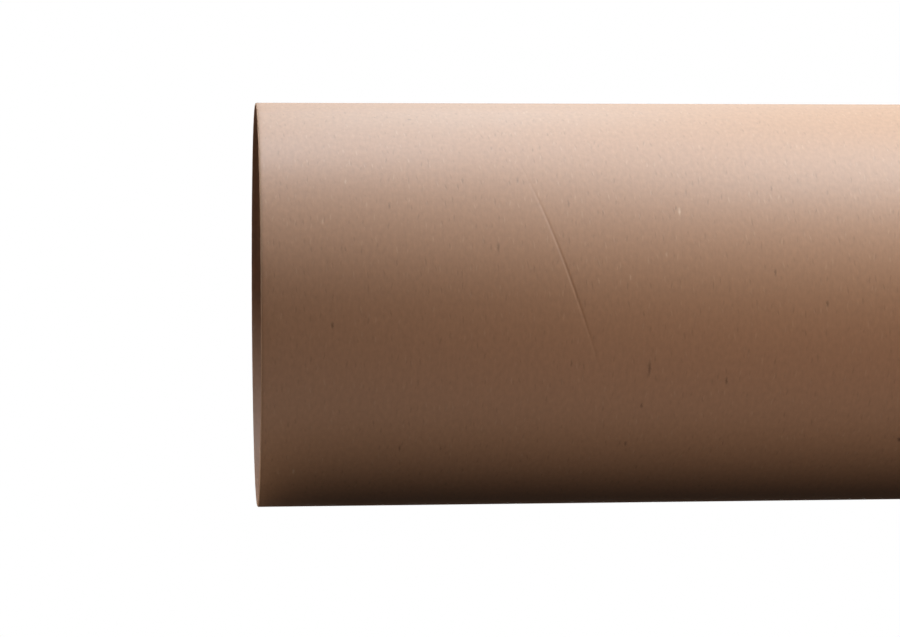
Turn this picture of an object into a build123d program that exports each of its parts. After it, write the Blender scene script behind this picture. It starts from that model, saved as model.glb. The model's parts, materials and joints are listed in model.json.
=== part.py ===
# Concrete form tube: a spiral-wound fibreboard tube, standing on its cut end
import os
from math import ceil, floor, pi, radians, tan

from build123d import *

os.makedirs("parts", exist_ok=True)

# Driving dimensions, in millimetres and degrees
bore_diameter = 304.8  # the column's nominal size
wall = 2.5  # all the glued plies together
length = 1219.2  # cut length
winding_angle = 18.66  # slope of the plies from square across the tube
seam_width = 3.0  # mouth of the butt joint between turns of the outer ply
seam_depth = 0.4  # about one ply
seam_drop = 228.0  # from the top end down to the seam, on the front
outer_round_share = 0.48  # of the wall: the worn outside corner of both cut ends
inner_round_share = 0.16  # and their inside corner

# Sizes that follow from them
bore_radius = bore_diameter / 2
outer_radius = bore_radius + wall
outer_edge_round = outer_round_share * wall
inner_edge_round = inner_round_share * wall
pitch = 2 * pi * outer_radius * tan(radians(winding_angle))
half_pitch = pitch / 2
front_turn = 0.75  # of a turn from +X round to the front, which is -Y
seam_at_x = length - seam_drop - front_turn * pitch  # one of its heights over +X
first_half = floor(-seam_at_x / half_pitch) - 1  # half turns counted from there, past both ends
last_half = ceil((length - seam_at_x) / half_pitch) + 1

# Half a turn of the outer ply's seam: a shallow V, as deep outside the tube as in it
with BuildPart() as seam_cut:
    with BuildLine() as seam_path:
        seam_line = Helix(pitch, half_pitch, outer_radius)
    seam_plane = Plane(seam_line @ 0, x_dir=(1, 0, 0), z_dir=seam_line % 0)
    with BuildSketch(seam_plane):
        with BuildLine():
            Polyline((-seam_depth, 0), (seam_depth, seam_width), (seam_depth, -seam_width), close=True)
        make_face()
    sweep(path=seam_path.line, is_frenet=True)

with BuildPart() as form_tube:
    # The wall, turned about the tube's axis, with the corners of its cut ends rounded
    with BuildSketch(Plane.XZ) as wall_section:
        with Locations((bore_radius, 0)):
            Rectangle(wall, length, align=(Align.MIN, Align.MIN))
        fillet(wall_section.vertices().group_by(Axis.X)[-1], outer_edge_round)
        fillet(wall_section.vertices().group_by(Axis.X)[0], inner_edge_round)
    revolve(axis=Axis.Z)

    # The seam winds up the whole tube, right-handed, and runs out of both ends
    for half in range(first_half, last_half):
        with Locations(Location((0, 0, seam_at_x + half * half_pitch), (0, 0, 180 * half))):
            add(seam_cut.part, mode=Mode.SUBTRACT)

form_tube.part.label = "form_tube"
export_step(form_tube.part, "parts/form_tube.step")
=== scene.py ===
import json
from math import atan2, ceil, cos, degrees, floor, hypot, pi, radians, sin, sqrt, tan

import bmesh
import bpy
from mathutils import Matrix, Vector, noise


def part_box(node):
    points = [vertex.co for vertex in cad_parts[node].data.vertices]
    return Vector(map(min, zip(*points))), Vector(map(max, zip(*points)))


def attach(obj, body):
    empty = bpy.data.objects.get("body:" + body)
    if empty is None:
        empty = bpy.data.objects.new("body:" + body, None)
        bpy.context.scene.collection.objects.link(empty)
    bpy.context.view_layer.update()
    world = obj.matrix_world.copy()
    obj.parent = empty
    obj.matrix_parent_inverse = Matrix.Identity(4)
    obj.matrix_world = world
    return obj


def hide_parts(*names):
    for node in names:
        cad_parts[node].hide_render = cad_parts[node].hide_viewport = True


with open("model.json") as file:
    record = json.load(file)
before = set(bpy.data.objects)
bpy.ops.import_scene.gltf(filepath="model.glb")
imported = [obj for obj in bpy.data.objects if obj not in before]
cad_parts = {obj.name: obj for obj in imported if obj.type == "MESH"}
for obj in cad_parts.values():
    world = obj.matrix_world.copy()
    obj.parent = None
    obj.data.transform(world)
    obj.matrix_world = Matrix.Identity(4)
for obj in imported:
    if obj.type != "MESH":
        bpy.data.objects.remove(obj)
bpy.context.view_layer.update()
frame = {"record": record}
mounts = {mount["name"]: mount for mount in frame["record"]["mounts"]}
boreRadius = mounts["bore"]["dims"]["r_mm"] / 1000
outerRadius = mounts["outside"]["dims"]["r_mm"] / 1000
tubeBottom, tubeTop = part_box("form_tube")[0][2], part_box("form_tube")[1][2]
wall = outerRadius - boreRadius
print("frame: tube of", round(outerRadius * 2, 4), "m across and", round(tubeTop - tubeBottom, 4), "m long")

winding = {
    "angle": radians(18.66),  # plies from square across the tube
    "seamDrop": 0.228,  # top end down to the outer seam, on the front
    "linerLead": 0.5,  # of a pitch that the liner's seam runs ahead of the outer one
}
pitch = 2 * pi * outerRadius * tan(winding["angle"])
seamAtX = tubeTop - winding["seamDrop"] - 0.75 * pitch  # height of the outer seam over +X
linerAtX = seamAtX + winding["linerLead"] * pitch


# camera: the photo has the tube lying down, so the lens is turned on its side

photo = {
    "width": 900,
    "height": 637,
    "focal": 2622.0,  # pixels
    "endPixel": (255.34, 304.43),  # centre of the open end
    "endDistance": 13.0095,  # tube radii ahead of the lens
    "yaw": radians(5.532),  # the open end is the nearer one
    "roll": radians(0.300),
}


def placeCamera():
    middle = Vector(((photo["width"] - 1) / 2, (photo["height"] - 1) / 2))
    ahead = photo["endDistance"] * outerRadius
    offset = (Vector(photo["endPixel"]) - middle) * ahead / photo["focal"]
    end = Vector((offset.x, offset.y, ahead))  # right, down and ahead of the lens
    yaw, roll = photo["yaw"], photo["roll"]
    along = Vector((cos(yaw) * cos(roll), -cos(yaw) * sin(roll), sin(yaw)))  # down the tube
    back = (end - along * end.dot(along)).normalized()  # from the lens through the axis
    toWorld = Matrix((along.cross(back), back, -along))
    lens = bpy.data.objects.new("photoCamera", bpy.data.cameras.new("photoCamera"))
    lens.data.sensor_width = 36
    lens.data.lens = 36 * photo["focal"] / photo["width"]
    lens.data.clip_end = 50
    turned = toWorld @ Matrix.Diagonal((1, -1, -1))
    lens.matrix_world = Matrix.Translation(Vector((0, 0, tubeTop)) - toWorld @ end) @ turned.to_4x4()
    bpy.context.collection.objects.link(lens)
    bpy.context.scene.camera = lens
    return lens


camera = placeCamera()
print("camera at", [round(value, 3) for value in camera.location])


# the tube's board: wound outer ply, cut ends and wound liner, one closed mesh

board = {
    "columns": 288,  # outer columns in a turn
    "rows": 22,  # plain rows between seams
    "seamHalf": 0.0015 / cos(winding["angle"]),  # half the seam's mouth, along the tube
    "seamDepth": 0.0004,
    "seamTight": 0.05,  # share of the depth where the plies meet closely
    "seamOpen": 0.68,  # and on the stretch that the photo shows
    "seamElsewhere": 1.0,
    "seamUneven": 0.3,  # change of that along the way
    "linerColumns": 192,
    "linerRows": 14,
    "lap": 0.00025,  # the liner's edge stands this far proud
    "lapRun": 0.018,  # and is back on the wall after this
    "lapFoot": 0.0012,  # plain wall close below the next turn's edge
    "linerTuck": 0.0015,  # the liner stops this short of the cut corner
    "plies": 5,
    "outerRound": 0.0012,
    "innerRound": 0.0004,
    "plyNotch": 0.00012,  # depth of the lines between cut plies
    "notchHalf": 0.00007,
    "cutRoughness": 0.00016,  # unevenness of the cut
    "cutWaves": 18,  # how fast it changes round the tube
}
# from the seam's middle to its edge: shares of its half mouth and of its depth
seamProfile = ((0, 1), (0.2, 0.86), (0.45, 0.6), (0.7, 0.31), (0.9, 0.12), (1.1, 0.03), (1.4, 0))
# degrees up from the photo's middle, on the turn of the seam that it shows
seamDegrees = {
    "opens": (-30, 2),
    "closes": (48, 10),
    "openAbove": (70, 130),  # behind the photo's upper edge
    "openBelow": (-60, -120),
    "corner": -277,  # the next turn is shut at the photo's upper right corner
    "cornerFade": (14, 36),
}


def outerSection():
    half, depth = board["seamHalf"], board["seamDepth"]
    near = [(half * share, outerRadius - depth * sunk) for share, sunk in seamProfile]
    first, last = near[-1][0], pitch - near[-1][0]
    plain = [first + (last - first) * row / board["rows"] for row in range(1, board["rows"])]
    far = [(pitch - across, radius) for across, radius in reversed(near)]
    return near + [(across, outerRadius) for across in plain] + far


def linerSection():
    lap, run = board["lap"], board["lapRun"]
    proud = boreRadius - lap
    near = [(0, proud), (0.002, proud), (run * 0.5, proud)]
    near += [(run * 0.75, boreRadius - lap * 0.5), (run, boreRadius)]
    last = pitch - board["lapFoot"]
    plain = [run + (last - run) * row / board["linerRows"] for row in range(1, board["linerRows"])]
    far = [(last, boreRadius), (pitch - 0.0003, boreRadius)]
    far += [(pitch - 0.0001, proud + lap * 0.2), (pitch, proud)]  # steep edge of the next turn
    return near + [(across, boreRadius) for across in plain] + far


def eased(value, start, end):
    share = min(1, max(0, (value - start) / (end - start)))
    return share * share * (3 - 2 * share)


def seamOpening(angle):
    # the gap opens on the photo's middle and closes to both sides of it
    front = degrees(angle - 1.5 * pi)
    shown = eased(front, *seamDegrees["opens"]) * eased(front, *seamDegrees["closes"])
    beyond = max(eased(front, *seamDegrees["openAbove"]), eased(front, *seamDegrees["openBelow"]))
    beyond *= eased(abs(front - seamDegrees["corner"]), *seamDegrees["cornerFade"])
    uneven = 1 + board["seamUneven"] * noise.noise(Vector((angle * 1.7, 0, 4)))
    return max(board["seamTight"], board["seamOpen"] * shown, board["seamElsewhere"] * beyond * uneven)


def alwaysOpen(angle):
    return 1


def woundSkin(section, opening, columns, startHeight, low, high):
    # a strip one pitch tall wound up the tube, each turn joined to the next, trimmed at both ends
    plainRadius = section[len(section) // 2][1]
    skin = bmesh.new()
    first = floor((low - pitch - startHeight) / pitch * columns) - 1
    last = ceil((high - startHeight) / pitch * columns) + 1
    tops = {}  # last row of each column, shared with the turn above
    previous = None
    for column in range(first, last + 1):
        angle = 2 * pi * column / columns
        foot = startHeight + pitch * column / columns
        strip = []
        for row, (across, drawn) in enumerate(section):
            turned = angle + (2 * pi if row > len(section) / 2 else 0)  # the far edge meets the turn above
            radius = plainRadius + (drawn - plainRadius) * opening(turned)
            shared = tops.get(column - columns) if row == 0 else None
            strip.append(shared or skin.verts.new((radius * cos(angle), radius * sin(angle), foot + across)))
        tops[column] = strip[-1]
        if previous:
            for row in range(len(section) - 1):
                skin.faces.new((previous[row], strip[row], strip[row + 1], previous[row + 1]))
        previous = strip
    for height, way in ((low, -1), (high, 1)):
        everything = skin.verts[:] + skin.edges[:] + skin.faces[:]
        bmesh.ops.bisect_plane(
            skin, geom=everything, dist=1e-7, plane_co=(0, 0, height), plane_no=(0, 0, way), clear_outer=True
        )
    return skin


def rimAt(bm, height, inside):
    # the open edge at a height, in order round the tube
    middle = (boreRadius + outerRadius) / 2
    found = {
        vert
        for edge in bm.edges
        if edge.is_boundary
        for vert in edge.verts
        if abs(vert.co.z - height) < 1e-5 and (hypot(vert.co.x, vert.co.y) < middle) == inside
    }
    return sorted(found, key=lambda vert: atan2(vert.co.y, vert.co.x))


def endDrop(radius):
    # how far the cut face lies below the end's plane
    outerStart, innerStart = outerRadius - board["outerRound"], boreRadius + board["innerRound"]
    if radius > outerStart:
        return board["outerRound"] - sqrt(max(0, board["outerRound"] ** 2 - (radius - outerStart) ** 2))
    if radius < innerStart:
        return board["innerRound"] - sqrt(max(0, board["innerRound"] ** 2 - (innerStart - radius) ** 2))
    return 0


def endRadii():
    # outside to inside: the worn corner, the lines between plies, the inner corner
    radii = {outerRadius - board["outerRound"] * (1 - sin(pi / 2 * step / 6)) for step in range(6)}
    radii |= {boreRadius + board["innerRound"] * (1 - sin(pi / 2 * step / 3)) for step in range(4)}
    notches, half = {}, board["notchHalf"]
    for ply in range(1, board["plies"]):
        line = boreRadius + wall * ply / board["plies"]
        for side, share in ((-half, 0), (0, 1), (half, 0)):
            radii.add(line + side)
            notches[line + side] = share * board["plyNotch"]
    return [(radius, notches.get(radius, 0)) for radius in sorted(radii, reverse=True)]


def cutEnd(bm, endHeight, way):
    rim = rimAt(bm, endHeight - way * board["outerRound"], False)
    rings, waves = [rim], board["cutWaves"]
    for radius, notch in endRadii():
        ring = []
        for vert in rim:
            angle = atan2(vert.co.y, vert.co.x)
            ply = floor((radius - boreRadius) / wall * board["plies"])
            here = Vector((cos(angle) * waves, sin(angle) * waves, ply * 3.7 + way))
            ragged = (noise.noise(here) + 1) / 2 * board["cutRoughness"]
            flat = max(0, 1 - endDrop(radius) / board["innerRound"])  # corners stay smooth
            share = (hypot(vert.co.x, vert.co.y) - boreRadius) / wall  # pulled in where the seam runs out
            placed = boreRadius + (radius - boreRadius) * share
            drop = endDrop(radius) + (notch + ragged) * flat
            ring.append(bm.verts.new((placed * cos(angle), placed * sin(angle), endHeight - way * drop)))
        rings.append(ring)
    for outer, inner in zip(rings, rings[1:]):
        for spot in range(len(rim)):
            face = bm.faces.new((outer[spot - 1], outer[spot], inner[spot], inner[spot - 1]))
            face.material_index = 1
    return rings[-1]


def joinLoops(bm, one, other):
    # triangles between two rims with different numbers of corners
    def turn(vert):
        return atan2(vert.co.y, vert.co.x)

    i = j = 0
    while i < len(one) or j < len(other):
        nextOne = turn(one[i + 1]) if i + 1 < len(one) else turn(one[0]) + 2 * pi
        nextOther = turn(other[j + 1]) if j + 1 < len(other) else turn(other[0]) + 2 * pi
        a, b = one[i % len(one)], other[j % len(other)]
        if i < len(one) and (j >= len(other) or nextOne <= nextOther):
            face = bm.faces.new((a, one[(i + 1) % len(one)], b))
            i += 1
        else:
            face = bm.faces.new((a, other[(j + 1) % len(other)], b))
            j += 1
        face.material_index = 2


def buildBoard():
    shell = bpy.data.meshes.new("tubeBoard")
    bm = bmesh.new()
    tuck = board["innerRound"] + board["linerTuck"]
    outerRound = board["outerRound"]
    for section, opening, columns, start, inset, finish in (
        (outerSection(), seamOpening, board["columns"], seamAtX, outerRound, 0),
        (linerSection(), alwaysOpen, board["linerColumns"], linerAtX, tuck, 2),
    ):
        skin = woundSkin(section, opening, columns, start, tubeBottom + inset, tubeTop - inset)
        for face in skin.faces:
            face.material_index = finish
        skin.to_mesh(shell)
        skin.free()
        bm.from_mesh(shell)
    for height, way in ((tubeBottom, -1), (tubeTop, 1)):
        corner = cutEnd(bm, height, way)
        joinLoops(bm, corner, rimAt(bm, height - way * tuck, True))
    bmesh.ops.recalc_face_normals(bm, faces=bm.faces[:])
    for face in bm.faces:
        face.smooth = True
    openEdges = sum(not edge.is_manifold for edge in bm.edges)
    bm.to_mesh(shell)
    bm.free()
    tube = bpy.data.objects.new("tube_board", shell)
    bpy.context.collection.objects.link(tube)
    print("board:", len(shell.polygons), "faces,", openEdges, "open edges")
    return tube


tubeBoard = buildBoard()
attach(tubeBoard, "root")
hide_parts("form_tube")


# node helpers

def feed(tree, value, socket):
    if isinstance(value, bpy.types.NodeSocket):
        tree.links.new(value, socket)
    else:
        socket.default_value = value


def calc(tree, operation, *values):
    node = tree.nodes.new("ShaderNodeMath")
    node.operation = operation
    for value, socket in zip(values, node.inputs):
        feed(tree, value, socket)
    return node.outputs[0]


def blendRange(tree, value, start, end, low=0, high=1):
    # eases from low to high as the value goes from start to end
    node = tree.nodes.new("ShaderNodeMapRange")
    node.interpolation_type = "SMOOTHSTEP"
    amounts = {"Value": value, "From Min": start, "From Max": end, "To Min": low, "To Max": high}
    for label, amount in amounts.items():
        feed(tree, amount, node.inputs[label])
    return node.outputs["Result"]


def point(tree, x, y, z=0):
    node = tree.nodes.new("ShaderNodeCombineXYZ")
    for value, socket in zip((x, y, z), node.inputs):
        feed(tree, value, socket)
    return node.outputs[0]


def cloud(tree, place, scale=1, detail=2, roughness=0.5):
    # noise about zero
    node = tree.nodes.new("ShaderNodeTexNoise")
    amounts = {"Vector": place, "Scale": scale, "Detail": detail, "Roughness": roughness}
    for label, amount in amounts.items():
        feed(tree, amount, node.inputs[label])
    return calc(tree, "SUBTRACT", node.outputs[0], 0.5)


def tinted(tree, amount, under, over):
    # from one colour to another
    node = tree.nodes.new("ShaderNodeMix")
    node.data_type = "RGBA"
    feed(tree, amount, node.inputs["Factor"])
    for colour, name in ((under, "A"), (over, "B")):
        socket = [entry for entry in node.inputs if entry.name == name and entry.type == "RGBA"][0]
        feed(tree, colour if isinstance(colour, bpy.types.NodeSocket) else (*colour, 1), socket)
    return [entry for entry in node.outputs if entry.type == "RGBA"][0]


def scaled(tree, colour, amount):
    node = tree.nodes.new("ShaderNodeVectorMath")
    node.operation = "SCALE"
    feed(tree, colour, node.inputs[0])
    feed(tree, amount, node.inputs["Scale"])
    return node.outputs[0]


def newGroup(name, takes, gives):
    tree = bpy.data.node_groups.new(name, "ShaderNodeTree")
    for label, start in takes.items():
        socket = tree.interface.new_socket(label, in_out="INPUT", socket_type="NodeSocketFloat")
        socket.default_value = start
    for label in gives:
        tree.interface.new_socket(label, in_out="OUTPUT", socket_type="NodeSocketFloat")
    return tree, tree.nodes.new("NodeGroupInput").outputs, tree.nodes.new("NodeGroupOutput").inputs


def useGroup(tree, group, values):
    node = tree.nodes.new("ShaderNodeGroup")
    node.node_tree = group
    for label, value in values.items():
        feed(tree, value, node.inputs[label])
    return node.outputs


def objectAxes(tree):
    place = tree.nodes.new("ShaderNodeTexCoord").outputs["Object"]
    parted = tree.nodes.new("ShaderNodeSeparateXYZ")
    tree.links.new(place, parted.inputs[0])
    return place, parted.outputs


def fromAxis(tree, axes):
    square = calc(tree, "MULTIPLY_ADD", axes["X"], axes["X"], calc(tree, "MULTIPLY", axes["Y"], axes["Y"]))
    return calc(tree, "SQRT", square)


# effects that the paper finishes share

def makePlyMap():
    # where a spot is on the wound strip: the only break is along the seam
    takes = {"Radius": outerRadius, "Pitch": pitch, "Start": seamAtX}
    tree, given, result = newGroup("plyMap", takes, ("Arc", "Height"))
    axes = objectAxes(tree)[1]
    angle = calc(tree, "ARCTAN2", axes["Y"], axes["X"])
    climb = calc(tree, "MULTIPLY", calc(tree, "DIVIDE", angle, 2 * pi), given["Pitch"])
    rise = calc(tree, "SUBTRACT", calc(tree, "SUBTRACT", axes["Z"], given["Start"]), climb)
    turn = calc(tree, "FLOOR", calc(tree, "DIVIDE", rise, given["Pitch"]))
    whole = calc(tree, "MULTIPLY_ADD", turn, 2 * pi, angle)
    feed(tree, calc(tree, "MULTIPLY", whole, given["Radius"]), result["Arc"])
    feed(tree, axes["Z"], result["Height"])
    return tree


# length and width in metres, and a shift of the seed
fibreLayers = {
    "clumps": (0.0050, 0.0034, 0),
    "streaks": (0.0090, 0.0015, 5),
    "hairs": (0.0030, 0.0004, 11),
}


def makeKraftFibre():
    # short fibres lying nearly round the tube
    takes = {"Arc": 0, "Height": 0, "Lean": -0.04, "Drift": 0.003, "Seed": 0}
    tree, given, result = newGroup("kraftFibre", takes, ("Tone", "Relief", "Clouds"))
    arc, height = given["Arc"], given["Height"]
    along = calc(tree, "MULTIPLY_ADD", height, given["Lean"], arc)
    aside = calc(tree, "SUBTRACT", height, calc(tree, "MULTIPLY", arc, given["Lean"]))
    drift = cloud(tree, point(tree, along, aside, given["Seed"]), 45, 1)
    aside = calc(tree, "MULTIPLY_ADD", drift, given["Drift"], aside)  # the fibres wander a little
    layers = {}
    for name, (length, width, shift) in fibreLayers.items():
        down, side = calc(tree, "DIVIDE", along, length), calc(tree, "DIVIDE", aside, width)
        layers[name] = cloud(tree, point(tree, down, side, calc(tree, "ADD", given["Seed"], shift)), 1, 1)
    lines = calc(tree, "MULTIPLY_ADD", layers["hairs"], 0.5, layers["streaks"])
    feed(tree, calc(tree, "MULTIPLY_ADD", lines, 0.35, layers["clumps"]), result["Tone"])
    feed(tree, calc(tree, "MULTIPLY_ADD", layers["streaks"], 0.2, layers["clumps"]), result["Relief"])
    flat = point(tree, along, calc(tree, "MULTIPLY", aside, 2), given["Seed"])
    feed(tree, cloud(tree, flat, 28, 3, 0.6), result["Clouds"])
    return tree


def makeBarkFlecks():
    # scattered specks of bark and pale shives pressed into the sheet, each a little askew
    takes = {
        "Arc": 0, "Height": 0, "Seed": 0, "Share": 0.12, "Least Lean": -0.24, "Lean Range": 0.44,
        "Arc Spacing": 0.06, "Height Spacing": 0.02, "Half Length": 0.003, "Half Width": 0.0006,
    }
    tree, given, result = newGroup("barkFlecks", takes, ("Dark", "Pale"))
    wander = cloud(tree, point(tree, given["Arc"], given["Height"], given["Seed"]), 260, 1)
    for label, shift in (("Dark", 0), ("Pale", 31)):
        start = calc(tree, "MULTIPLY_ADD", given["Seed"], 1.37, shift)
        spot = point(
            tree,
            calc(tree, "ADD", calc(tree, "DIVIDE", given["Arc"], given["Arc Spacing"]), start),
            calc(tree, "SUBTRACT", calc(tree, "DIVIDE", given["Height"], given["Height Spacing"]), start),
        )
        cells = tree.nodes.new("ShaderNodeTexVoronoi")
        cells.voronoi_dimensions = "2D"
        feed(tree, spot, cells.inputs["Vector"])
        feed(tree, 1, cells.inputs["Scale"])
        offset = tree.nodes.new("ShaderNodeVectorMath")
        offset.operation = "SUBTRACT"
        feed(tree, spot, offset.inputs[0])
        feed(tree, cells.outputs["Position"], offset.inputs[1])
        away, chance = tree.nodes.new("ShaderNodeSeparateXYZ"), tree.nodes.new("ShaderNodeSeparateXYZ")
        feed(tree, offset.outputs[0], away.inputs[0])
        feed(tree, cells.outputs["Color"], chance.inputs[0])
        alongArc = calc(tree, "MULTIPLY", away.outputs["X"], given["Arc Spacing"])
        alongHeight = calc(tree, "MULTIPLY", away.outputs["Y"], given["Height Spacing"])
        askew = calc(tree, "MULTIPLY_ADD", chance.outputs["Z"], given["Lean Range"], given["Least Lean"])
        size = calc(tree, "MULTIPLY_ADD", chance.outputs["Y"], 0.7, 0.3)
        down = calc(tree, "MULTIPLY_ADD", alongHeight, askew, alongArc)
        side = calc(tree, "SUBTRACT", alongHeight, calc(tree, "MULTIPLY", alongArc, askew))
        down = calc(tree, "DIVIDE", down, calc(tree, "MULTIPLY", given["Half Length"], size))
        side = calc(tree, "MULTIPLY_ADD", wander, 1.5, calc(tree, "DIVIDE", side, given["Half Width"]))
        mark = calc(tree, "SQRT", calc(tree, "MULTIPLY_ADD", down, down, calc(tree, "MULTIPLY", side, side)))
        there = calc(tree, "LESS_THAN", chance.outputs["X"], given["Share"])
        strength = calc(tree, "MULTIPLY", there, size)
        feed(tree, calc(tree, "MULTIPLY", blendRange(tree, mark, 1.1, 0.1), strength), result[label])
    return tree


def makePlacedFleck():
    # one speck at a chosen spot on the strip
    takes = {
        "Arc": 0, "Height": 0, "Wander": 0,
        "Middle Arc": 0, "Middle Height": 0, "Half Length": 0.002, "Half Width": 0.0006,
    }
    tree, given, result = newGroup("placedFleck", takes, ("Mark",))
    alongArc = calc(tree, "SUBTRACT", given["Arc"], given["Middle Arc"])
    alongHeight = calc(tree, "SUBTRACT", given["Height"], given["Middle Height"])
    down = calc(tree, "DIVIDE", alongArc, given["Half Length"])
    side = calc(tree, "DIVIDE", alongHeight, given["Half Width"])
    side = calc(tree, "MULTIPLY_ADD", given["Wander"], 1.4, side)
    away = calc(tree, "SQRT", calc(tree, "MULTIPLY_ADD", down, down, calc(tree, "MULTIPLY", side, side)))
    feed(tree, blendRange(tree, away, 1.2, 0.1), result["Mark"])
    return tree


def makeEndWearAndShade():
    # darker near both cut ends and fading away from them: handling wear, and painted shade beside the rounded
    # corners
    takes = {"Reach": 0.004, "Raggedness": 0.003}
    tree, given, result = newGroup("endWearAndShade", takes, ("WearAndShade",))
    place, axes = objectAxes(tree)
    fromBottom = calc(tree, "SUBTRACT", axes["Z"], tubeBottom)
    fromTop = calc(tree, "SUBTRACT", tubeTop, axes["Z"])
    fromEnd = calc(tree, "MINIMUM", fromBottom, fromTop)
    ragged = calc(tree, "MULTIPLY", cloud(tree, place, 90, 3, 0.65), given["Raggedness"])
    feed(tree, blendRange(tree, calc(tree, "ADD", fromEnd, ragged), given["Reach"], 0), result["WearAndShade"])
    return tree


plyMap = makePlyMap()
kraftFibre = makeKraftFibre()
barkFlecks = makeBarkFlecks()
placedFleck = makePlacedFleck()
endWearAndShade = makeEndWearAndShade()
print("effects:", len(bpy.data.node_groups), "node groups")


# outer ply, cut ends and liner

outerPaper = {
    "colour": (0.46, 0.24, 0.14),
    "fleckColour": (0.14, 0.065, 0.036),
    "shiveColour": (0.66, 0.43, 0.29),
    # darker near the cut ends: handling wear and painted shade
    "wearAndShadeColour": (0.30, 0.15, 0.085),
    "wearAndShadeAmount": 0.45,
    "wearAndShadeReach": 0.0035,  # from the cut ends
    # colour of the painted shade in the seam's groove
    "seamShadeColour": (0.17, 0.085, 0.047),
    "paintedSeamShade": (0.15, 0.9),  # shares of the seam's depth over which the painted shade comes in
    "seamDark": 0.45,  # painted shade in the bottom of the open seam
    "seamFront": 0.1,  # weaker painted shade, on the photo's side
    "weakerShadeFrom": (0.45, 0.35),  # where the painted shade is weaker: below the top end, and up from there
    "roughness": 0.55,
    "gloss": 0.5,
    "fibreTone": 0.23,
    "cloudTone": 0.05,
    "reliefDepth": 0.00008,
    "fibreDark": 0.23,  # the many fine fibres
    "fibrePale": 0.18,
    "fibreRaised": 0.6,
    "fleckDark": 0.45,  # the few large flecks
    "fleckPale": 0.35,
    "flecksShown": 0.10,
    "seeds": (3, 5, 8),  # fibres, fine fibres and flecks
}
fineFibres = {
    "Share": 0.6, "Arc Spacing": 0.017, "Height Spacing": 0.0052, "Half Length": 0.0040, "Half Width": 0.0009,
}
# specks seen in the photo: pixel across and down, half length and half width in mm, how dark
photoFlecks = (
    (649, 368, 7.5, 1.5, 0.62),
    (409, 119, 2.0, 2.2, 0.40),
    (547, 134, 2.8, 1.0, 0.35),
    (491, 148, 2.8, 1.0, 0.35),
    (462, 180, 3.2, 1.0, 0.40),
    (517, 180, 3.4, 1.0, 0.40),
    (568, 203, 3.8, 1.0, 0.40),
    (389, 205, 3.4, 1.1, 0.45),
    (771, 188, 3.2, 1.0, 0.40),
    (498, 247, 4.2, 1.1, 0.45),
    (775, 272, 3.4, 1.2, 0.55),
    (827, 303, 2.8, 1.5, 0.60),
    (332, 325, 3.2, 1.3, 0.60),
    (571, 363, 3.4, 1.0, 0.45),
    (726, 380, 3.8, 1.1, 0.60),
    (641, 405, 2.6, 1.5, 0.60),
    (399, 448, 3.8, 1.0, 0.55),
    (625, 443, 3.0, 1.3, 0.60),
    (440, 448, 2.4, 1.0, 0.40),
    (899, 439, 3.2, 1.9, 0.90),
)
# and its pale shives, with how pale
photoShives = (
    (679, 211, 4.2, 1.1, 0.75),
    (293, 471, 4.0, 1.2, 0.60),
    (630, 277, 2.8, 0.9, 0.50),
    (666, 254, 2.4, 0.9, 0.45),
    (345, 181, 3.0, 0.9, 0.45),
    (322, 221, 2.8, 0.9, 0.40),
)


def onTube(pixel):
    # the spot on the outer wall that a pixel of the photo shows, as arc and height on the strip
    turned = camera.matrix_world.to_3x3()
    across, down = pixel[0] - (photo["width"] - 1) / 2, pixel[1] - (photo["height"] - 1) / 2
    ray = turned @ Vector((across, -down, -photo["focal"]))
    start = camera.matrix_world.translation
    a = ray.x ** 2 + ray.y ** 2
    b = start.x * ray.x + start.y * ray.y
    c = start.x ** 2 + start.y ** 2 - outerRadius ** 2
    spot = start + ray * ((-b - sqrt(b * b - a * c)) / a)
    angle = atan2(spot.y, spot.x)
    turn = floor((spot.z - seamAtX - pitch * angle / (2 * pi)) / pitch)
    return (angle + 2 * pi * turn) * outerRadius, spot.z


def newFinish(name, gloss):
    material = bpy.data.materials.new(name)
    material.use_nodes = True
    paper = material.node_tree.nodes["Principled BSDF"]
    paper.inputs["Specular IOR Level"].default_value = gloss
    return material, material.node_tree, paper


def pressIn(tree, paper, height, depth):
    bump = tree.nodes.new("ShaderNodeBump")
    bump.inputs["Distance"].default_value = depth
    feed(tree, height, bump.inputs["Height"])
    feed(tree, bump.outputs[0], paper.inputs["Normal"])


def placeMarks(tree, rows, where, wander, under):
    for across, down, length, width, strength in rows:
        arc, height = onTube((across, down))
        spot = {"Middle Arc": arc, "Middle Height": height, "Wander": wander}
        size = {"Half Length": length / 1000, "Half Width": width / 1000}
        mark = useGroup(tree, placedFleck, {**where, **spot, **size})["Mark"]
        under = calc(tree, "MAXIMUM", under, calc(tree, "MULTIPLY", mark, strength))
    return under


def pressedFibres(tree, look, where):
    # fibres and flecks of a sheet, with how dark and how pale they are
    fibreSeed, fineSeed, fleckSeed = look["seeds"]
    fibre = useGroup(tree, kraftFibre, {**where, "Seed": fibreSeed})
    fine = useGroup(tree, barkFlecks, {**where, **fineFibres, "Seed": fineSeed})
    flecks = useGroup(tree, barkFlecks, {**where, "Seed": fleckSeed, "Share": look["flecksShown"]})
    marks = []
    for label in ("Dark", "Pale"):
        large = calc(tree, "MULTIPLY", flecks[label], look["fleck" + label])
        small = calc(tree, "MULTIPLY", fine[label], look["fibre" + label])
        marks.append(calc(tree, "MAXIMUM", large, small))
    return fibre, fine, *marks


def sheetColour(tree, look, dark, pale):
    colour = tinted(tree, dark, look["colour"], look["fleckColour"])
    colour = tinted(tree, pale, colour, look["shiveColour"])
    # handling wear and painted shade near the cut ends
    wearAndShade = useGroup(tree, endWearAndShade, {"Reach": look["wearAndShadeReach"]})["WearAndShade"]
    return tinted(tree, calc(tree, "MULTIPLY", wearAndShade, look["wearAndShadeAmount"]), colour, look["wearAndShadeColour"]), wearAndShade


def sheetTone(tree, look, fibre):
    tone = calc(tree, "MULTIPLY_ADD", fibre["Tone"], look["fibreTone"], 1)
    return calc(tree, "MULTIPLY_ADD", fibre["Clouds"], look["cloudTone"], tone)


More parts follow.
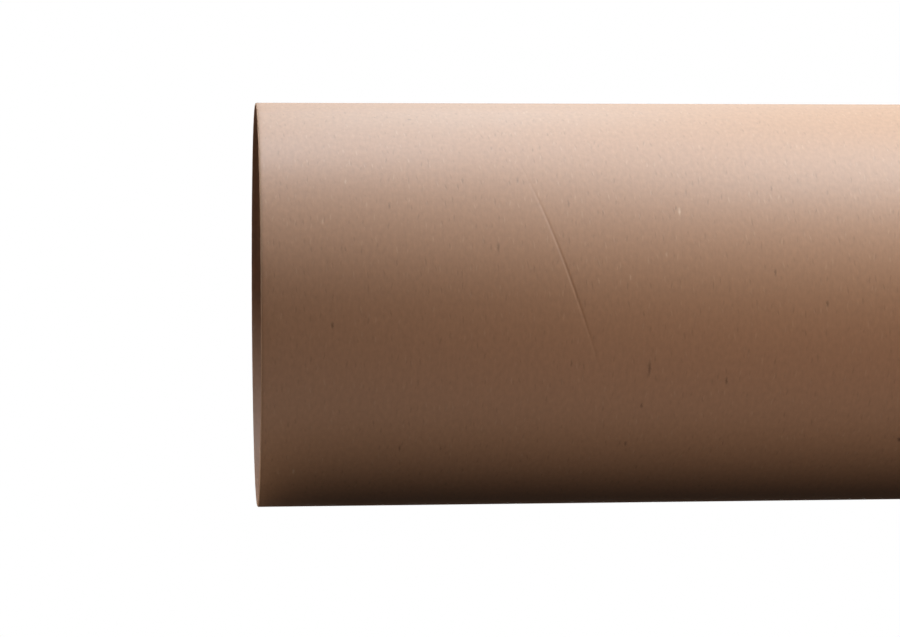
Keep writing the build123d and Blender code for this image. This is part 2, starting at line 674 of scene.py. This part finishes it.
def paintedSeamShade(tree, look):
    # painted shade in the seam: darker with depth, less so on the stretch that the photo shows
    axes = objectAxes(tree)[1]
    sunk = calc(tree, "SUBTRACT", outerRadius, fromAxis(tree, axes))
    seam = blendRange(tree, sunk, *[board["seamDepth"] * share for share in look["paintedSeamShade"]])
    front = blendRange(tree, axes["Y"], 0, -0.6 * outerRadius)
    upper = blendRange(tree, axes["Z"], *[tubeTop - drop for drop in look["weakerShadeFrom"]])
    front = calc(tree, "MULTIPLY", front, upper)
    return calc(tree, "MULTIPLY", seam, blendRange(tree, front, 0, 1, look["seamDark"], look["seamFront"]))


def makeOuterPaper():
    look = outerPaper
    material, tree, paper = newFinish("outerKraft", look["gloss"])
    strip = useGroup(tree, plyMap, {})
    where = {"Arc": strip["Arc"], "Height": strip["Height"]}
    fibre, fine, dark, pale = pressedFibres(tree, look, where)
    wander = cloud(tree, point(tree, strip["Arc"], strip["Height"]), 700, 1)
    dark = placeMarks(tree, photoFlecks, where, wander, dark)
    pale = placeMarks(tree, photoShives, where, wander, pale)
    colour, wearAndShade = sheetColour(tree, look, dark, pale)
    # painted shade along the seam's groove
    colour = tinted(tree, paintedSeamShade(tree, look), colour, look["seamShadeColour"])
    feed(tree, scaled(tree, colour, sheetTone(tree, look, fibre)), paper.inputs["Base Color"])
    shine = calc(tree, "MULTIPLY_ADD", fibre["Clouds"], 0.05, look["roughness"])
    feed(tree, calc(tree, "MULTIPLY_ADD", wearAndShade, 0.15, shine), paper.inputs["Roughness"])
    raised = calc(tree, "MULTIPLY", calc(tree, "SUBTRACT", fine["Pale"], fine["Dark"]), look["fibreRaised"])
    pressIn(tree, paper, calc(tree, "ADD", raised, fibre["Relief"]), look["reliefDepth"])
    return material


linerPaper = {
    "colour": (0.47, 0.25, 0.15),
    "fleckColour": (0.16, 0.075, 0.042),
    "shiveColour": (0.66, 0.43, 0.29),
    # darker near the cut ends: handling wear and painted shade
    "wearAndShadeColour": (0.33, 0.17, 0.10),
    "wearAndShadeAmount": 0.3,
    "wearAndShadeReach": 0.005,
    "roughness": 0.58,
    "gloss": 0.5,
    "fibreTone": 0.22,
    "cloudTone": 0.08,
    "reliefDepth": 0.00006,
    "fibreDark": 0.22,
    "fibrePale": 0.38,
    "fleckDark": 0.5,
    "fleckPale": 0.35,
    "flecksShown": 0.12,
    "seeds": (21, 52, 40),
}


def makeLinerPaper():
    look = linerPaper
    material, tree, paper = newFinish("linerKraft", look["gloss"])
    strip = useGroup(tree, plyMap, {"Radius": boreRadius, "Start": linerAtX})
    where = {"Arc": strip["Arc"], "Height": strip["Height"]}
    fibre, _, dark, pale = pressedFibres(tree, look, where)
    colour = sheetColour(tree, look, dark, pale)[0]
    feed(tree, scaled(tree, colour, sheetTone(tree, look, fibre)), paper.inputs["Base Color"])
    feed(tree, calc(tree, "MULTIPLY_ADD", fibre["Tone"], 0.12, look["roughness"]), paper.inputs["Roughness"])
    pressIn(tree, paper, fibre["Relief"], look["reliefDepth"])
    return material


cutPaper = {
    "colour": (0.50, 0.29, 0.18),
    "glueColour": (0.27, 0.14, 0.08),
    "glueShade": 0.7,
    "glueEdge": 0.36,  # where the glue starts, from a ply's middle at 0 to its face at 0.5
    "fuzzColour": (0.62, 0.41, 0.28),
    "fuzzShade": 0.6,
    "fuzzScale": 1500,
    "patchScale": 110,
    "patchTone": 0.3,
    "plyTone": 0.16,  # difference between plies
    "wobble": 0.00012,  # of the lines between them
    "roughness": 0.8,
    "gloss": 0.3,
    "reliefDepth": 0.0002,
}


def makeCutPaper():
    look = cutPaper
    material, tree, paper = newFinish("cutKraft", look["gloss"])
    place, axes = objectAxes(tree)
    deep = calc(tree, "SUBTRACT", fromAxis(tree, axes), boreRadius)
    deep = calc(tree, "MULTIPLY_ADD", cloud(tree, place, 60, 2), look["wobble"], deep)
    layer = calc(tree, "DIVIDE", deep, wall / board["plies"])
    fromLine = calc(tree, "ABSOLUTE", calc(tree, "SUBTRACT", calc(tree, "FRACT", layer), 0.5))
    glue = blendRange(tree, fromLine, look["glueEdge"], 0.5)
    ply = tree.nodes.new("ShaderNodeTexWhiteNoise")
    ply.noise_dimensions = "1D"
    feed(tree, calc(tree, "FLOOR", layer), ply.inputs["W"])
    fuzz = cloud(tree, place, look["fuzzScale"], 2, 0.6)
    patches = cloud(tree, place, look["patchScale"], 3, 0.6)
    tone = calc(tree, "MULTIPLY_ADD", ply.outputs["Value"], look["plyTone"], 1 - look["plyTone"] / 2)
    tone = calc(tree, "MULTIPLY_ADD", patches, look["patchTone"], tone)
    colour = tinted(tree, calc(tree, "MULTIPLY", glue, look["glueShade"]), look["colour"], look["glueColour"])
    fuzzy = blendRange(tree, fuzz, 0.02, 0.28, 0, look["fuzzShade"])
    colour = tinted(tree, fuzzy, colour, look["fuzzColour"])
    feed(tree, scaled(tree, colour, tone), paper.inputs["Base Color"])
    feed(tree, calc(tree, "MULTIPLY_ADD", fuzz, 0.2, look["roughness"]), paper.inputs["Roughness"])
    pressIn(tree, paper, calc(tree, "MULTIPLY_ADD", glue, -0.5, fuzz), look["reliefDepth"])
    return material


for finish in (makeOuterPaper(), makeCutPaper(), makeLinerPaper()):
    tubeBoard.data.materials.append(finish)
print("finishes:", [finish.name for finish in tubeBoard.data.materials])


# floor, world and lamps

studio = {
    "floorRadius": 2.2,
    "floorColour": (0.84, 0.84, 0.83),
    "floorFade": (0.3, 0.97),  # shares of the radius from the floor's own colour to white
    "ambient": 0.03,
    "ambientBelow": 0.02,  # on the photo's lower side
}


def roundTube(angle, distance, height, aimHeight=None):
    # place and aim of a lamp, in degrees from the front: the photo's upper side is at 90
    side, front = sin(radians(angle)), -cos(radians(angle))
    aim = height if aimHeight is None else aimHeight
    return Vector((distance * side, distance * front, height)), Vector((0, 0, aim))


def fromBelow(front, height):
    # a lamp where the ground would be, were the tube lying as in the photo
    return Vector((-outerRadius - 0.015, front, height)), Vector((1, front, height))


# place and aim, size across and up, watts, colour
tubeLamps = {
    "key": (*roundTube(90, 1.8, 1.3), (0.5, 1.2), 35, (0.74, 0.875, 1)),
    "near": (*roundTube(70, 0.9, 0.5), (0.5, 0.5), 9.5, (0.61, 0.845, 1)),
    "rear": (*roundTube(125, 1.8, 0.9), (0.5, 0.5), 6.9, (0.5, 0.82, 1)),
    "fill": (*roundTube(10, 0.9, 0.7), (0.5, 0.5), 1.65, (1, 0.71, 0.46)),
    "low": (*fromBelow(-0.305, 0.875), (0.29, 1.65), 0.545, (0.87, 0.97, 1)),
    "lowEnd": (*fromBelow(-0.125, tubeTop + 0.065), (0.25, 0.11), 0.035, (1, 0.9, 0.72)),
    "crown": (Vector((0.2, 0.2, 3.2)), Vector((0, 0, 1)), (1, 1), 13, (1, 0.87, 0.77)),
    "back": (*roundTube(195, 2, 1, 0.7), (0.9, 1.6), 28, (1, 1, 1)),
}
matteLamps = ("back",)  # lamps that leave no gleam
floorLamps = {
    "overhead": (Vector((0.3, 0.3, 4)), Vector((0, 0, 0)), (2.6, 2.6), 190, (1, 1, 1)),
}


def seenDirectly(tree):
    # camera, mirror and glass rays
    path = tree.nodes.new("ShaderNodeLightPath").outputs
    plain = calc(tree, "MAXIMUM", path["Is Camera Ray"], path["Is Transmission Ray"])
    return plain, path["Is Glossy Ray"]


def makeFloor():
    reach = studio["floorRadius"]
    mesh = bpy.data.meshes.new("floor")
    turns = [2 * pi * spot / 96 for spot in range(96)]
    corners = [(reach * cos(turn), reach * sin(turn), tubeBottom) for turn in turns]
    mesh.from_pydata(corners, [], [tuple(range(len(corners)))])
    floorDisc = bpy.data.objects.new("floor", mesh)
    bpy.context.collection.objects.link(floorDisc)
    floorDisc.visible_diffuse = floorDisc.visible_glossy = False  # no light thrown back on the tube
    paint = bpy.data.materials.new("floorPaint")
    paint.use_nodes = True
    tree = paint.node_tree
    surface = tree.nodes["Principled BSDF"]
    surface.inputs["Base Color"].default_value = (*studio["floorColour"], 1)
    surface.inputs["Roughness"].default_value = 0.9
    surface.inputs["Specular IOR Level"].default_value = 0.1
    plain, glossy = seenDirectly(tree)
    away = tree.nodes.new("ShaderNodeVectorMath")
    away.operation = "LENGTH"
    feed(tree, objectAxes(tree)[0], away.inputs[0])
    rim = blendRange(tree, away.outputs["Value"], *[reach * share for share in studio["floorFade"]])
    white = tree.nodes.new("ShaderNodeEmission")
    mixed = tree.nodes.new("ShaderNodeMixShader")
    feed(tree, calc(tree, "MULTIPLY", rim, calc(tree, "MAXIMUM", plain, glossy)), mixed.inputs[0])
    feed(tree, surface.outputs[0], mixed.inputs[1])
    feed(tree, white.outputs[0], mixed.inputs[2])
    feed(tree, mixed.outputs[0], tree.nodes["Material Output"].inputs["Surface"])
    mesh.materials.append(paint)
    return floorDisc


def makeWorld():
    world = bpy.data.worlds.new("studioWorld")
    bpy.context.scene.world = world
    world.use_nodes = True
    tree = world.node_tree
    plain, glossy = seenDirectly(tree)
    heading = tree.nodes.new("ShaderNodeSeparateXYZ")
    feed(tree, tree.nodes.new("ShaderNodeTexCoord").outputs["Generated"], heading.inputs[0])
    overhead = blendRange(tree, heading.outputs["X"], -0.1, 0.5)  # mirror rays find white above the photo
    soft = blendRange(tree, heading.outputs["X"], -0.7, 0.3, studio["ambientBelow"], studio["ambient"])
    mirrored = calc(tree, "MAXIMUM", calc(tree, "MULTIPLY", glossy, overhead), soft)
    tree.nodes["Background"].inputs["Color"].default_value = (1, 1, 1, 1)
    feed(tree, calc(tree, "MAXIMUM", plain, mirrored), tree.nodes["Background"].inputs["Strength"])


def hangLamps(lamps, lit):
    # each lamp falls on one thing alone, so the floor stays even
    group = bpy.data.collections.new(lit.name + "Light")
    group.objects.link(lit)
    for name, (place, aim, size, watts, colour) in lamps.items():
        lamp = bpy.data.objects.new(name, bpy.data.lights.new(name, "AREA"))
        lamp.data.shape = "RECTANGLE"
        lamp.data.size, lamp.data.size_y = size
        lamp.data.energy, lamp.data.color = watts, colour
        lamp.location = place
        lamp.rotation_euler = (aim - place).to_track_quat("-Z", "Y").to_euler()
        lamp.visible_camera = False
        lamp.visible_glossy = name not in matteLamps
        lamp.light_linking.receiver_collection = group
        bpy.context.collection.objects.link(lamp)


floorDisc = makeFloor()
makeWorld()
hangLamps(tubeLamps, tubeBoard)
hangLamps(floorLamps, floorDisc)
bpy.context.scene.view_settings.view_transform = "Standard"
print("stage: floor,", len(tubeLamps), "lamps on the tube and", len(floorLamps), "on the floor")
